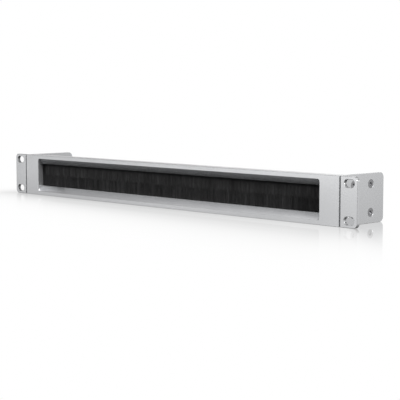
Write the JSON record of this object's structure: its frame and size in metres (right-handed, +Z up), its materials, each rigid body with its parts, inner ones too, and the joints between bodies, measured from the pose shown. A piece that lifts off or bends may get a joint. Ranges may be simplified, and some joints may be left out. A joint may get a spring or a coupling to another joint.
{
  "type": "rack brush strip panel",
  "caption": "Rack panel with a wide funnel-shaped mouth closed by opposed black brush rows, so that cables pass through, and L-shaped slotted rack ears at both ends.",
  "frame": {"origin": "centre of the four rack slots, on the rear face of the ears, which meets the rack rails", "axes": "+X to the right seen from the front, +Y back into the rack, +Z up"},
  "size_m": [0.4826, 0.0619, 0.0436],
  "materials": {
    "bezel_paint": "satin silver-grey powder coat with a fine grain",
    "chassis_paint": "satin silver-grey powder coat",
    "bracket_paint": "satin silver-grey powder coat with a fine grain",
    "screw_steel": "nickel-plated steel",
    "nut_zinc": "bright zinc-plated steel",
    "clamp_aluminium": "mill-finish extrusion with fine lengthwise lines",
    "strip_steel": "galvanised strip steel",
    "bristle_nylon": "black nylon filament with a slight sheen"
  },
  "bodies": {
    "root": {"front_bezel": "bezel_paint", "chassis_frame": "chassis_paint", "left_rack_bracket": "bracket_paint", "right_rack_bracket": "bracket_paint", "bracket_screws": "screw_steel", "clinch_nuts": "nut_zinc", "upper_clamp_bar": "clamp_aluminium", "lower_clamp_bar": "clamp_aluminium", "clamp_screws": "screw_steel", "clamp_washers": "nut_zinc", "upper_brush_channel": "strip_steel", "lower_brush_channel": "strip_steel", "upper_core_wire": "strip_steel", "lower_core_wire": "strip_steel", "upper_bristles": "bristle_nylon", "lower_bristles": "bristle_nylon"}
  },
  "joints": []
}
